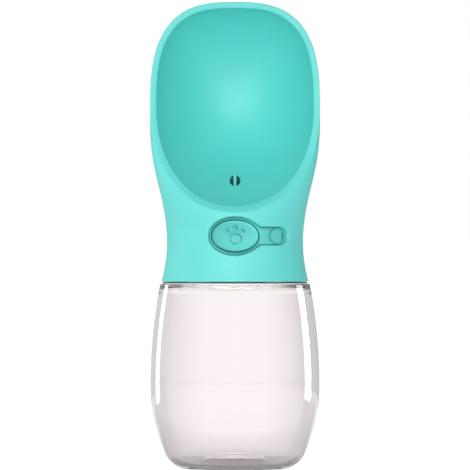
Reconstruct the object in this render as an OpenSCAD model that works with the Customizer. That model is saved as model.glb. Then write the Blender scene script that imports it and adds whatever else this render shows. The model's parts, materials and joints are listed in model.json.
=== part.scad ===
// Travel water bottle for a dog: a clear bottle with a screw-on head whose scoop is the drinking bowl.
// A button in the head opens a sprung valve below the scoop, and a catch beside it slides along the wall.
// Z is up, the scoop and the button face -Y, and the origin is the middle of the base.

/* [Bottle] */
// Largest radius of the bottle
bottle_r = 39.75; // [36:0.05:48]
// Height of the widest place of the bottle
belly_z = 39.5; // [32:0.5:47]
// Radius of the curve of the lower wall, seen from the side
belly_arc = 78; // [65:1:94]
// Radius of the rounded foot
foot_arc = 12.6; // [10:0.1:15]
// Height of the shoulder that the head stands on
shoulder_z = 87.3; // [72:0.1:105]
// Radius of the bottle's edge at the shoulder
shoulder_r = 35.2; // [33:0.1:39]
// Radius of the shoulder's rounded edge
shoulder_round = 0.9; // [0.5:0.1:1.5]
// Wall of the bottle
bottle_wall = 2.2; // [1.8:0.1:3]
// How far the middle of the base is pushed up
base_rise = 5.2; // [3:0.1:6.5]

/* [Neck and thread] */
// Wall of the neck
neck_wall = 2.2; // [1.8:0.1:2.8]
// Lift of the thread in one turn
thread_pitch = 4; // [3.3:0.1:4.8]
// How far the thread stands out of the neck
thread_depth = 1.4; // [1.1:0.1:1.7]
// Turns of the neck's thread
thread_turns = 1.25; // [1:0.05:1.4]
// Wall of the collar that carries the inner thread
collar_wall = 2.5; // [2:0.1:3]
// Free space between a thread's crest and the wall that it faces
thread_gap = 0.35; // [0.25:0.05:0.5]
// Thickness of the flat gasket on top of the neck
gasket_t = 1.6; // [1.3:0.1:2]
// Thickness of the ring between the shoulder and the head
shoulder_seal_t = 0.8; // [0.6:0.05:1]
// How far that ring is set back from the head's edge
shoulder_seal_inset = 0.65; // [0.4:0.05:1]

/* [Head] */
// Height of the head, from its bottom edge to the tip of the scoop
head_h = 131.7; // [120:0.1:160]
// Wall of the head
head_wall = 2.2; // [1.8:0.1:2.8]
// Outer radius of the head's bottom edge
skirt_r = 34.65; // [33:0.05:39]
// Outer radius of the waist
waist_r = 32.05; // [30:0.05:38.5]
// Height of the waist above the head's bottom edge
waist_h = 18.7; // [16:0.1:22]
// Height over which the wall flares from the waist to the scoop
flare_h = 56; // [47:1:67]
// Full width of the scoop
scoop_w = 79.94; // [72:0.1:96]
// Height of the scoop's widest place above the head's bottom edge
scoop_mid_h = 82.2; // [75:0.1:90]
// Distance of the scoop's back from the bottle's axis
back_y = 36.25; // [33:0.05:39]
// Height of the back's fullest place above the head's bottom edge
back_h = 76; // [68:0.1:84]

/* [Scoop rim] */
// Height of the rim's lowest place above the head's bottom edge
rim_low_h = 32.4; // [31:0.1:36]
// Distance in front of the axis that the rim's upper part nears
rim_top_y = 1; // [0:0.1:4]
// Height in which the rim's curve closes most of its way back
rim_bend_h = 28; // [23:0.5:33]
// Squareness of the rim's upper half, where 2 is an ellipse
rim_square_top = 2.85; // [2.4:0.05:3.4]
// Squareness of the rim's lower half
rim_square_low = 2.12; // [2:0.02:2.5]
// Width of the lip
lip_w = 3.1; // [2.6:0.1:3.7]
// How far the lip slopes inward
lip_slope = 0.8; // [0.5:0.1:1.2]
// Distance of the bowl's deepest place behind the bottle's axis
bowl_y = 32; // [28:0.1:33]
// Height of the bowl's deepest place above the head's bottom edge
bowl_h = 86; // [78:0.1:92]

/* [Outlet] */
// Radius of the outlet channel
outlet_r = 2.55; // [2.1:0.05:3]
// Height of the outlet hole above the head's bottom edge
outlet_h = 47.5; // [45:0.1:50]
// Distance of the outlet channel behind the bottle's axis
outlet_y = 20; // [18:0.1:21]

/* [Button] */
// Height of the button's middle above the head's bottom edge
button_h = 21.4; // [20.5:0.1:22.5]
// Full width of the button
button_w = 21.9; // [18:0.1:23]
// Full height of the button
button_t = 14.6; // [12:0.1:15.5]
// Width of the bezel's floor that shows round the button
bezel_rim = 1.7; // [1.2:0.1:2.2]
// Depth of the bezel's floor below the waist's surface
bezel_depth = 1; // [0.7:0.1:1.4]
// How far the button stands out of the waist's surface
button_proud = 1.2; // [0.6:0.1:2]
// Height of the bezel's arm
arm_t = 8.5; // [7.5:0.1:9.5]
// Distance of the arm's end from the bottle's middle plane
arm_x = 24.85; // [24:0.05:26]
// How far the corners between the oval and the arm are eased
arm_blend = 3; // [1:0.1:4]
// How far the button can be pressed
button_travel = 3; // [2:0.1:3.5]
// Depth of the paw that is sunk into the button
relief_t = 0.35; // [0.2:0.05:0.5]

/* [Catch] */
// Distance of the knob from the bottle's middle plane
knob_x = 18.7; // [18:0.1:19.5]
// Radius of the knob
knob_r = 3.3; // [2.8:0.1:3.6]
// Height of the knob
knob_t = 1.4; // [1:0.1:2]
// Angle that the catch slides along the wall
lock_swing = 7; // [5:0.5:8]

/* [Valve] */
// Outer radius of the valve housing
housing_r = 6.6; // [6.2:0.1:7]
// Radius of the housing's piston bore
piston_r = 4.6; // [4.2:0.1:4.8]
// Radius of the valve seat's opening
seat_r = 3.2; // [2.8:0.1:3.5]
// Radius of the plunger's stem
stem_r = 1.9; // [1.6:0.1:2.2]
// Place of the front of the seat along the valve, from the bottle's axis
seat_y = 7; // [5:0.1:8]
// Thickness of the seat's wall
seat_t = 3; // [2.4:0.1:3.4]
// Wire diameter of the return spring
wire_d = 0.8; // [0.6:0.05:1]
// Mean radius of the return spring
coil_r = 3.9; // [3.5:0.1:4.2]
// Turns of the return spring
coil_turns = 5; // [4:0.5:6]

/* [Base plate] */
// Thickness of the base plate
plate_t = 2.2; // [1.8:0.1:2.6]
// Distance of the screws from the bottle's axis
screw_ring_r = 19; // [17.5:0.1:20]
// Radius of the screws' shanks
screw_r = 1.2; // [1:0.05:1.4]
// Radius of the screws' heads
screw_head_r = 2.5; // [2:0.1:2.8]
// Height of the screws' heads
screw_head_t = 1.6; // [1.2:0.1:1.8]
// Length of the screws' shanks
screw_l = 9; // [7.5:0.5:10.8]

/* [Hidden] */

$fn = 96;

// Colours
teal = [0.44, 0.86, 0.84];
clear = [0.93, 0.91, 0.92, 0.45];
white = [0.93, 0.94, 0.94];
silicone = [0.85, 0.87, 0.86];
dark = [0.16, 0.33, 0.33];
steel = [0.72, 0.73, 0.75];

// Clearances
run_gap = 0.05;     // round pieces that slide or turn in a bore
slide_gap = 0.25;   // other pieces that move past each other
seat_gap = 0.3;     // fixed pieces that lie beside a curved wall
fit_gap = 0.15;     // the bezel in the head's opening
button_gap = 0.35;  // the button in the bezel's opening
seal_play = 0.2;    // free height above the shoulder's ring
cut = 1;            // how far a cutting shape runs past what it cuts
weld = 0.1;         // how far the shapes of one piece run into each other

// Half widths of the oval part of the bezel
bezel_rx = button_w / 2 + bezel_rim;
bezel_ry = button_t / 2 + bezel_rim;
bezel_flange_grow = 1.4;

// Heights: the head's from the table up, and the neck's from the bezel down
head_z = shoulder_z + shoulder_seal_t + seal_play;
button_z = head_z + button_h;
plate_top = button_z - bezel_ry - slide_gap - fit_gap;
plate_z = plate_top - plate_t;
neck_top = plate_z - gasket_t;

// Radii of the collar and the neck, from the narrowest place of the head's lower wall inward
inner_r = waist_r - head_wall;
plate_r = min(waist_r, skirt_r) - head_wall - seat_gap - fit_gap;
collar_r = plate_r - collar_wall;
neck_r = collar_r - thread_gap - thread_depth;
mouth_r = neck_r - neck_wall;

// The bottle's foot: the foot's arc touches both the table and the belly's arc
foot_r = bottle_r - belly_arc + sqrt(pow(belly_arc - foot_arc, 2) - pow(belly_z - foot_arc, 2));
foot_turn = asin((belly_z - foot_arc) / (belly_arc - foot_arc));

// Rings of the valve behind the button, measured from the bottle's axis
bezel_face_r = waist_r - bezel_depth;
bezel_flange_low = button_h - bezel_ry - bezel_flange_grow;
bezel_flange_r = min(waist_r, flank_r(bezel_flange_low)) - head_wall - slide_gap;
bezel_flange_t = 1.3;
bezel_back_r = bezel_flange_r - bezel_flange_t;
slider_r = bezel_back_r - slide_gap;
slider_t = 1.15;
boss_step = 0.9;
boss_y = -(slider_r - slider_t - boss_step);

// Places along the valve, from front to back
spring_l = 8.5;
gland_y = boss_y + spring_l;
gland_flange_t = 1.5;
gland_plug_l = 2.4;
housing_front = gland_y + gland_flange_t;
outlet_margin = 6;
end_plug_l = 2.6;
housing_back = outlet_y + outlet_margin;
chamber_back = housing_back - end_plug_l;
piston_play = 1;
piston_y = housing_front + gland_plug_l + piston_play;
piston_l = 5;
seat_back = seat_y + seat_t;
seal_t = 1;
disc_t = 1.6;

// Spigots of the valve, and the rings round them
spigot_wall = 1.1;
inlet_r = 3;
port_r = 2;
inlet_spigot_r = inlet_r + spigot_wall;
outlet_spigot_r = port_r + spigot_wall;
inlet_seal_w = 0.9;
outlet_seal_w = 1.15;
inlet_hole_r = inlet_spigot_r + inlet_seal_w;
outlet_seat_r = outlet_spigot_r + outlet_seal_w;

// O-rings: radius of the ring's cord and width of its groove
ring_w = 0.75;
groove_w = 1.8;
small_ring_w = 0.55;
small_groove_w = 1.4;

// The cavity under the scoop: its ceiling clears the bezel in front, and climbs to the back and sides
ceiling_gap = 0.5;
ceiling_front = button_h + bezel_ry + bezel_flange_grow + ceiling_gap;
ceiling_slope = 0.24;
ceiling_bow = 0.009;
// Behind the outlet's channel the ceiling follows the bowl up
ceiling_lift = 0.05;
ceiling_lift_y = outlet_y / 2;
ceiling_tries = 24;
// How much thicker than the waist's the wall is at the top of the cavity
cavity_taper = 2.3;

// Fullness of the bowl's hollow at its sides, and how much more it has at the tip and less in front
bowl_round = 1.5;
bowl_round_change = 0.25;

// Resolution of the head's lofted surface
loft_n = 48;
loft_turn = 360 / loft_n;
loft_bowl = 11;
loft_flank = 13;
loft_skirt = 5;
loft_ceiling = 4;
tilt_above_waist = 5;
loft_start = waist_h + tilt_above_waist;

function smooth(s) =
    let (t = min(max(s, 0), 1)) t * t * (3 - 2 * t);
function power(v, e) = sign(v) * pow(abs(v), e);
function arc(centre, r, from, to, n) =
    [for (i = [0:n]) let (a = from + (to - from) * i / n) centre + r * [cos(a), sin(a)]];
function oval(rx, ry, n) = [for (i = [0:n - 1]) [rx * cos(360 * i / n), ry * sin(360 * i / n)]];

// Radius of the head's wall at the height h above its bottom edge
function flank_r(h) =
    h < waist_h
        ? waist_r + (skirt_r - waist_r) * pow((waist_h - h) / waist_h, 2)
        : waist_r + (scoop_w / 2 - waist_r) * smooth((h - waist_h) / flare_h);
// Distance of the head's back from the axis at the height h, up to its fullest place
function back_at(h) =
    h < waist_h
        ? flank_r(h)
        : waist_r + (back_y - waist_r) * smooth((h - waist_h) / (back_h - waist_h));
// Place of the rim in Y at the height h: it starts at the front wall and bends back as it climbs
rim_reach = flank_r(rim_low_h) - rim_top_y;
function rim_y(h) = -rim_top_y - rim_reach * exp(-(h - rim_low_h) / rim_bend_h);

// The rim, and any outline inside it: u is 0 at the right, 90 at the tip and -90 at the front
function squareness(u, s) = sin(u) > 0 ? 2 + (rim_square_top - 2) * s : 2 + (rim_square_low - 2) * s;
function rim_xh(u, inset, s = 1) =
    let (
        e = 2 / squareness(u, s),
        high = sin(u) > 0 ? head_h - scoop_mid_h : scoop_mid_h - rim_low_h
    )
    [(scoop_w / 2 - inset) * power(cos(u), e), scoop_mid_h + (high - inset) * power(sin(u), e)];

// Guide lines of the outer wall, as [y, h]: s is 0 where the rings begin to tilt and 1 at the rim
back_share = 0.3;
function back_line(s) =
    s < back_share
        ? let (h = loft_start + (back_h - loft_start) * s / back_share) [back_at(h), h]
        : let (a = 90 * (s - back_share) / (1 - back_share), tip = rim_y(head_h))
          [tip + (back_y - tip) * cos(a), back_h + (head_h - back_h) * sin(a)];
function front_line(s) =
    let (h = loft_start + (rim_low_h - loft_start) * s) [-flank_r(h), h];
function side_line(s) =
    [rim_y(scoop_mid_h) * s * s, loft_start + (scoop_mid_h - loft_start) * s];

// How far the rim at u lies behind the straight line between its guide points
function rim_bow(u) =
    let (
        end = sin(u) > 0 ? back_line(1) : front_line(1),
        side = side_line(1),
        h = rim_xh(u, 0)[1],
        k = (h - side[1]) / (end[1] - side[1])
    )
    rim_y(h) - side[0] - (end[0] - side[0]) * k;

function outer_point(u, s) =
    let (
        e = 2 / squareness(u, s),
        side = side_line(s),
        end = sin(u) > 0 ? back_line(s) : front_line(s),
        k = pow(abs(sin(u)), e),
        x = flank_r(side[1]) * power(cos(u), e)
    )
    [x, side[0] + (end[0] - side[0]) * k + rim_bow(u) * s * s, side[1] + (end[1] - side[1]) * k];
function skirt_point(u, h) = [flank_r(h) * cos(u), flank_r(h) * sin(u), h];

// The bowl: a is 0 at the lip and 90 at the deepest place, near which its sections are plain ovals
function bowl_point(u, a) =
    let (
        out = cos(a),
        lip = rim_xh(u, lip_w, smooth(out)),
        deep = pow(sin(a), 2 / (bowl_round + bowl_round_change * sin(u))),
        y = rim_y(rim_xh(u, lip_w)[1]) + lip_slope
    )
    [lip[0] * out, y + (bowl_y - y) * deep, bowl_h + (lip[1] - bowl_h) * out];

// The cavity's wall and ceiling
function ceiling_h(x, y) =
    ceiling_front + ceiling_slope * (y + inner_r) + ceiling_bow * x * x
        + ceiling_lift * pow(max(y - ceiling_lift_y, 0), 2);
function cavity_r(u, h) =
    let (back = sin(u) > 0 ? back_at(h) : flank_r(h))
    flank_r(h) * pow(cos(u), 2) + back * pow(sin(u), 2) - head_wall
        - cavity_taper * smooth((h - loft_start) / (back_h - loft_start));
function cavity_top(u, h, tries) =
    tries == 0
        ? h
        : let (r = cavity_r(u, h)) cavity_top(u, ceiling_h(r * cos(u), r * sin(u)), tries - 1);
function cavity_point(u, s) =
    let (h = cavity_top(u, ceiling_front, ceiling_tries) * s, r = cavity_r(u, h))
    [r * cos(u), r * sin(u), h];
function ceiling_point(u, s) =
    let (edge = cavity_point(u, 1), x = edge[0] * s, y = edge[1] * s)
    [x, y, ceiling_h(x, y)];

// A closed solid from rings of equal length, with a point at each end. The rings run from the
// first point to the last, each turning the same way.
module rings_solid(first, rings, last) {
    n = len(rings[0]);
    m = len(rings);
    points = [first, for (ring = rings) each ring, last];
    faces = [
        for (j = [0:n - 1]) [0, 1 + (j + 1) % n, 1 + j],
        for (i = [0:m - 2], j = [0:n - 1])
            let (a = 1 + i * n + j, b = 1 + i * n + (j + 1) % n)
            each [[a, b, a + n], [b, b + n, a + n]],
        for (j = [0:n - 1])
            let (base = 1 + (m - 1) * n)
            [base + j, base + (j + 1) % n, 1 + m * n]
    ];
    polyhedron(points = points, faces = faces);
}

// The head's moulding in one surface: bowl, outer wall, and the cavity under the bowl
module head_loft() {
    turns = [for (j = [0:loft_n - 1]) j * loft_turn];
    bowl = [for (i = [1:loft_bowl]) [for (u = turns) bowl_point(u, 90 - 90 * i / loft_bowl)]];
    flank = [for (i = [0:loft_flank]) [for (u = turns) outer_point(u, 1 - i / loft_flank)]];
    skirt = [
        for (i = [1:loft_skirt]) [for (u = turns) skirt_point(u, loft_start * (1 - i / loft_skirt))]
    ];
    cavity = [for (i = [0:loft_skirt]) [for (u = turns) cavity_point(u, i / loft_skirt)]];
    ceiling = [
        for (i = [1:loft_ceiling - 1]) [for (u = turns) ceiling_point(u, 1 - i / loft_ceiling)]
    ];
    rings_solid(
        [0, bowl_y, bowl_h],
        concat(bowl, flank, skirt, cavity, ceiling),
        [0, 0, ceiling_h(0, 0)]
    );
}

// Cylinder along Y from y0 to y1 at the height z
module rod_y(r, y0, y1, z = 0) {
    translate([0, y0, z]) rotate([-90, 0, 0]) cylinder(r = r, h = y1 - y0);
}
// Flat ring along Z
module ring_z(r_out, r_in, z0, z1) {
    translate([0, 0, z0]) difference() {
        cylinder(r = r_out, h = z1 - z0);
        translate([0, 0, -cut]) cylinder(r = r_in, h = z1 - z0 + 2 * cut);
    }
}
// O-ring of the wire radius w round Y
module o_ring_y(r_mid, w, y) {
    translate([0, y, button_z]) rotate([-90, 0, 0]) rotate_extrude()
        translate([r_mid, 0]) circle(r = w, $fn = 32);
}
// Part of the curved wall between two radii that an outline covers, seen from the front
patch_margin = 3;
patch_h = bezel_ry + patch_margin;
module wall_patch(r_in, r_out) {
    intersection() {
        translate([0, 0, button_z]) rotate([90, 0, 0]) linear_extrude(r_out + cut) children();
        ring_z(r_out, r_in, button_z - patch_h, button_z + patch_h);
    }
}

// Upper edge of the bezel's outline, grown by g: an oval, an arm with a round end, and eased corners
function keyhole_top(x, g) =
    let (
        rx = bezel_rx + g,
        arm_r = arm_t / 2 + g,
        over = max(x - arm_x + arm_t / 2, 0),
        oval_z = (bezel_ry + g) * sqrt(max(1 - x * x / (rx * rx), 0)),
        arm_z = x > 0 ? sqrt(max(arm_r * arm_r - over * over, 0)) : 0,
        near = x > 0 ? max(1 - abs(oval_z - arm_z) / arm_blend, 0) : 0
    )
    max(oval_z, arm_z) + near * near * arm_blend / 4;
module keyhole(g) {
    steps = 44;
    left = -bezel_rx - g;
    right = arm_x + g;
    function at(i) = (left + right) / 2 - (right - left) / 2 * cos(180 * i / steps);
    polygon([
        for (i = [0:steps]) [at(i), i % steps == 0 ? 0 : keyhole_top(at(i), g)],
        for (i = [steps - 1:-1:1]) [at(i), -keyhole_top(at(i), g)]
    ]);
}
module button_outline(g) {
    polygon(oval(button_w / 2 + g, button_t / 2 + g, 48));
}

// ---- bottle ----

function wall_r(z) =
    bottle_r - (bottle_r - shoulder_r) * pow(max(z - belly_z, 0) / (shoulder_z - belly_z), 2);
// The base's middle rises over bump_w, inside the ring that the bottle stands on
stand_ring = 1.5;
bump_w = 0.55 * foot_r;
function base_bump(r) = base_rise * smooth((foot_r - stand_ring - r) / bump_w);
neck_edge = 0.5;

module bottle_profile() {
    edge = shoulder_round;
    top = shoulder_z - edge;
    steps = 14;
    floor_steps = 10;
    floor_r = foot_r - 1;
    w = bottle_wall;
    under = [for (i = [0:floor_steps]) let (r = floor_r * i / floor_steps) [r, base_bump(r)]];
    foot = arc([foot_r, foot_arc], foot_arc, -90, -foot_turn, 8);
    belly = arc([bottle_r - belly_arc, belly_z], belly_arc, -foot_turn, 0, 8);
    upper = [for (i = [1:steps]) let (z = belly_z + (top - belly_z) * i / steps) [wall_r(z), z]];
    rounded = arc([wall_r(top) - edge, top], edge, 0, 90, 5);
    in_top = shoulder_z - w;
    in_round = 1.2;
    in_edge = arc([wall_r(in_top) - w - in_round, in_top - in_round], in_round, 90, 0, 5);
    in_upper = [
        for (i = [0:steps])
            let (z = in_top - in_round - (in_top - in_round - belly_z) * i / steps) [wall_r(z) - w, z]
    ];
    in_belly = arc([bottle_r - belly_arc, belly_z], belly_arc - w, 0, -foot_turn, 8);
    in_foot = arc([foot_r, foot_arc], foot_arc - w, -foot_turn, -90, 8);
    in_floor = [
        for (i = [floor_steps:-1:0]) let (r = floor_r * i / floor_steps) [r, base_bump(r) + w]
    ];
    polygon(concat(
        under, foot, belly, upper, rounded,
        [[neck_r, shoulder_z], [neck_r, neck_top - neck_edge], [neck_r - neck_edge, neck_top]],
        [[mouth_r, neck_top], [mouth_r, in_top]],
        in_edge, in_upper, in_belly, in_foot, in_floor
    ));
}

// Ridge of the neck's thread: a tapered section that climbs one pitch a turn and fades at its ends
thread_start = 2.2;
thread_z = shoulder_z + thread_start;
thread_w = 1.7;
module neck_thread() {
    steps = round(36 * thread_turns);
    root = 0.4;
    crest = 0.45;
    fade_steps = 4;
    thinnest = 0.05;
    function fade(i) = max(min(1, i / fade_steps, (steps - i) / fade_steps), thinnest);
    rings = [
        for (i = [0:steps])
            let (
                a = 360 * thread_turns * i / steps,
                z = thread_z + thread_pitch * a / 360,
                out = neck_r + thread_depth * fade(i),
                w = thread_w / 2
            )
            [
                for (p = [[neck_r - root, -w], [out, -w * crest], [out, w * crest], [neck_r - root, w]])
                    [p[0] * cos(a), p[0] * sin(a), z + p[1]]
            ]
    ];
    first = (rings[0][0] + rings[0][2]) / 2;
    last = (rings[steps][0] + rings[steps][2]) / 2;
    rings_solid(first, rings, last);
}

module bottle() {
    color(clear) union() {
        rotate_extrude($fn = 128) bottle_profile();
        neck_thread();
    }
}

module shoulder_seal() {
    r_in = collar_r + collar_wall / 4;
    r_out = skirt_r - shoulder_seal_inset;
    color(dark) ring_z(r_out, r_in, shoulder_z, shoulder_z + shoulder_seal_t);
}

// ---- head ----

screw_count = 4;
screw_turns = [for (i = [0:screw_count - 1]) 45 + i * 360 / screw_count];
boss_r = 3.2;
boss_sink = 0.5;
pilot_spare = 0.8;
module at_screws() {
    for (a = screw_turns) rotate([0, 0, a]) translate([screw_ring_r, 0, 0]) children();
}

// The outlet: a boss that takes the valve's spigot, a riser, and the hole into the bowl
outlet_boss_r = 5.6;
outlet_boss_z = button_z + housing_r + 0.9;
outlet_seat_l = 4.3;
outlet_seat_z = outlet_boss_z + outlet_seat_l;
outlet_sink = 1.5;
riser_r = outlet_r - 0.3;

// How far the keyhole's cut reaches inside and outside the waist's wall
window_in = 1.5;
window_out = 6;

module head_shell() {
    outlet_top = head_z + ceiling_h(0, outlet_y) + outlet_sink;
    color(teal) difference() {
        union() {
            translate([0, 0, head_z]) head_loft();
            for (a = screw_turns) {
                top = head_z + ceiling_h(screw_ring_r * cos(a), screw_ring_r * sin(a)) + boss_sink;
                rotate([0, 0, a]) translate([screw_ring_r, 0, plate_top])
                    cylinder(r = boss_r, h = top - plate_top, $fn = 48);
            }
            translate([0, outlet_y, outlet_boss_z])
                cylinder(r = outlet_boss_r, h = outlet_top - outlet_boss_z);
        }
        at_screws() translate([0, 0, plate_top - cut])
            cylinder(r = screw_r + run_gap, h = screw_l - plate_t + pilot_spare + cut, $fn = 32);
        translate([0, outlet_y, outlet_boss_z - cut])
            cylinder(r = outlet_seat_r, h = outlet_seat_l + cut);
        translate([0, outlet_y, outlet_seat_z - cut])
            cylinder(r = riser_r, h = head_z + outlet_h - outlet_seat_z + cut);
        rod_y(outlet_r, -outlet_y / 2, outlet_y, head_z + outlet_h);
        wall_patch(inner_r - window_in, waist_r + window_out) keyhole(0);
    }
}

module button_bezel() {
    color(teal) difference() {
        union() {
            wall_patch((bezel_back_r + bezel_flange_r) / 2, bezel_face_r) keyhole(-fit_gap);
            wall_patch(bezel_back_r, bezel_flange_r) keyhole(bezel_flange_grow);
        }
        wall_patch(bezel_back_r - cut, bezel_face_r + cut) button_outline(button_gap);
        // the flange stops short of the base plate
        translate([0, 0, plate_z]) cylinder(r = inner_r, h = plate_t + slide_gap);
        lock_slot();
    }
}

// The button: a face that follows the waist, a flange behind the bezel and a boss for the stem
flange_grow = 1.25;
boss_face_r = 5;
socket_l = 2.2;
module button() {
    face_r = waist_r + button_proud;
    color(teal) {
        difference() {
            union() {
                wall_patch(slider_r - slider_t, face_r) button_outline(0);
                wall_patch(slider_r - slider_t, slider_r) button_outline(flange_grow);
                rod_y(boss_face_r, -slider_r + slider_t / 2, boss_y, button_z);
            }
            rod_y(stem_r + run_gap, boss_y - socket_l, boss_y + cut, button_z);
            wall_patch(face_r - relief_t, face_r + cut) paw();
        }
    }
}
// A plain paw: an oval pad round a raised middle, and three toes
module paw() {
    pad = [3.3, 2.5];
    pad_low = 1.3;
    heart_r = 1.9;
    heart_low = 1.6;
    toe_reach = 5;
    toe_r = [0.95, 1.2, 0.95];
    difference() {
        translate([0, -pad_low]) polygon(oval(pad[0], pad[1], 40));
        translate([0, -heart_low]) circle(r = heart_r, $fn = 36);
    }
    for (i = [0:2]) {
        a = 45 * (i + 1);
        translate([toe_reach * cos(a), toe_reach * sin(a) - pad_low]) circle(r = toe_r[i], $fn = 28);
    }
}

// ---- catch ----

lock_turn = -acos(knob_x / bezel_face_r);
knob_neck_r = 1.6;
lock_plate_t = 3.1;
tongue_t = 2.3;
// The slot that the knob's neck slides along
module lock_slot() {
    r = knob_neck_r + slide_gap;
    spare = asin(r / slider_r);
    translate([0, 0, button_z]) rotate([0, 0, lock_turn - spare])
        rotate_extrude(angle = lock_swing + 2 * spare)
            translate([slider_r - cut, -r]) square([waist_r - slider_r + 2 * cut, 2 * r]);
}
module along_knob(a) {
    translate([0, 0, button_z]) rotate([0, 0, lock_turn + a]) rotate([0, 90, 0]) children();
}

module lock_knob() {
    low = bezel_face_r + slide_gap;
    foot_t = 0.3;
    edge = 0.4;
    neck_start = slider_r - slider_t;
    $fn = 64;
    color(teal) along_knob(0) {
        translate([0, 0, low]) cylinder(r1 = knob_r - 0.1, r2 = knob_r, h = foot_t);
        translate([0, 0, low + foot_t]) cylinder(r = knob_r, h = knob_t - foot_t - edge);
        translate([0, 0, low + knob_t - edge]) cylinder(r1 = knob_r, r2 = knob_r - edge, h = edge);
        translate([0, 0, neck_start]) cylinder(r = knob_neck_r, h = low + weld - neck_start);
    }
}

// The slider: a curved plate behind the bezel, with a tongue that ends beside the button's flange
module lock_plate() {
    tip_gap = 0.4;
    left_reach = 2.75;
    right_reach = 2.2;
    neck_x = knob_x * slider_r / bezel_face_r;
    tip_x = button_w / 2 + flange_grow + tip_gap;
    left_x = neck_x - left_reach;
    right_x = neck_x + right_reach;
    color(white) difference() {
        wall_patch(slider_r - slider_t, slider_r) polygon([
            [tip_x, -tongue_t], [left_x, -tongue_t], [left_x, -lock_plate_t], [right_x, -lock_plate_t],
            [right_x, lock_plate_t], [left_x, lock_plate_t], [left_x, tongue_t], [tip_x, tongue_t]
        ]);
        along_knob(0) translate([0, 0, slider_r - slider_t - cut])
            cylinder(r = knob_neck_r + run_gap, h = slider_t + 2 * cut, $fn = 48);
    }
}

// ---- base plate ----

collar_lift = 0.6;
screw_play = 0.3;
module base_plate() {
    color(white) difference() {
        union() {
            translate([0, 0, plate_z]) cylinder(r = plate_r, h = plate_t);
            ring_z(plate_r, collar_r, head_z + collar_lift, plate_z + weld);
            thread_lugs();
        }
        translate([0, 0, plate_z - cut]) cylinder(r = inlet_hole_r, h = plate_t + 2 * cut);
        at_screws() translate([0, 0, plate_z - cut])
            cylinder(r = screw_r + screw_play, h = plate_t + 2 * cut, $fn = 32);
    }
}
// The inner thread, broken into short lugs that lie midway between the turns of the neck's thread
module thread_lugs() {
    lug_turn = 24;
    lug_step = 60;
    lug_w = 1;
    lug_in = neck_r + thread_gap;
    lug_out = collar_r + collar_wall / 8;
    function lug_z(a) = thread_z + thread_pitch * ((a + lug_turn / 2) / 360 + 0.5) - lug_w / 2;
    // as many as lie below the neck's top
    for (a = [for (a = [0:lug_step:720]) if (lug_z(a) + lug_w < neck_top) a])
        rotate([0, 0, a]) translate([0, 0, lug_z(a)]) rotate_extrude(angle = lug_turn)
            translate([lug_in, 0]) square([lug_out - lug_in, lug_w]);
}

module base_screws() {
    cross_l = 2.6;
    cross_w = 0.6;
    cross_depth = 0.85;
    $fn = 48;
    color(steel) at_screws() translate([0, 0, plate_z]) difference() {
        union() {
            translate([0, 0, -screw_head_t]) cylinder(r = screw_head_r, h = screw_head_t);
            translate([0, 0, -weld]) cylinder(r = screw_r, h = screw_l + weld);
        }
        for (a = [0, 90]) translate([0, 0, -screw_head_t]) rotate([0, 0, a])
            cube([cross_l, cross_w, 2 * cross_depth], center = true);
    }
}

module neck_gasket() {
    over = 0.6;
    set_back = 0.2;
    color(silicone) ring_z(neck_r + over, mouth_r + set_back, neck_top, plate_z);
}

// ---- valve ----

module valve_housing() {
    inlet_z = plate_z - 0.6;
    inlet_l = button_z - inlet_z;
    outlet_l = outlet_seat_z - seat_gap - button_z;
    color(white) difference() {
        union() {
            rod_y(housing_r, housing_front, housing_back, button_z);
            translate([0, 0, inlet_z]) cylinder(r = inlet_spigot_r, h = inlet_l);
            translate([0, outlet_y, button_z]) cylinder(r = outlet_spigot_r, h = outlet_l);
        }
        rod_y(piston_r, housing_front - cut, seat_y, button_z);
        rod_y(seat_r, seat_y - cut, seat_back + cut, button_z);
        rod_y(piston_r, seat_back, housing_back + cut, button_z);
        translate([0, 0, inlet_z - cut]) cylinder(r = inlet_r, h = inlet_l + cut);
        translate([0, outlet_y, button_z]) cylinder(r = port_r, h = outlet_l + cut);
    }
}

// The plunger: stem, piston with a groove for its ring, and the disc that pulls the seal shut
piston_mid = piston_y + piston_l / 2;
disc_over = 0.8;
seal_over = 0.9;
module valve_plunger() {
    disc_y = seat_back + seal_t;
    color(white) difference() {
        union() {
            rod_y(stem_r, boss_y - socket_l, disc_y + disc_t, button_z);
            rod_y(piston_r - run_gap, piston_y, piston_y + piston_l, button_z);
            rod_y(seat_r + disc_over, disc_y, disc_y + disc_t, button_z);
        }
        ring_groove(piston_mid, ring_w, groove_w);
    }
}
// What is cut from a plug in the piston's bore for an O-ring
module ring_groove(y, ring, width) {
    difference() {
        rod_y(piston_r + cut, y - width / 2, y + width / 2, button_z);
        rod_y(piston_r - 2 * ring - 2 * run_gap, y - width, y + width, button_z);
    }
}
module piston_ring() {
    color(dark) o_ring_y(piston_r - ring_w - run_gap, ring_w, piston_mid);
}
module seat_seal() {
    color(silicone) difference() {
        rod_y(seat_r + seal_over, seat_back, seat_back + seal_t, button_z);
        rod_y(stem_r + run_gap, seat_back - cut, seat_back + seal_t + cut, button_z);
    }
}

// The gland: its plug holds the stem's ring in a pocket
gland_back = housing_front + gland_plug_l;
pocket_y = housing_front + 0.6;
pocket_r = stem_r + 2 * small_ring_w + 2 * run_gap;
module gland_cap() {
    color(white) difference() {
        union() {
            rod_y(housing_r, gland_y, housing_front, button_z);
            rod_y(piston_r - run_gap, housing_front - weld, gland_back, button_z);
        }
        rod_y(stem_r + run_gap, gland_y - cut, gland_back + cut, button_z);
        rod_y(pocket_r, pocket_y, gland_back + cut, button_z);
    }
}
module stem_seal() {
    color(dark) o_ring_y(stem_r + small_ring_w + run_gap, small_ring_w, (pocket_y + gland_back) / 2);
}

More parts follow.
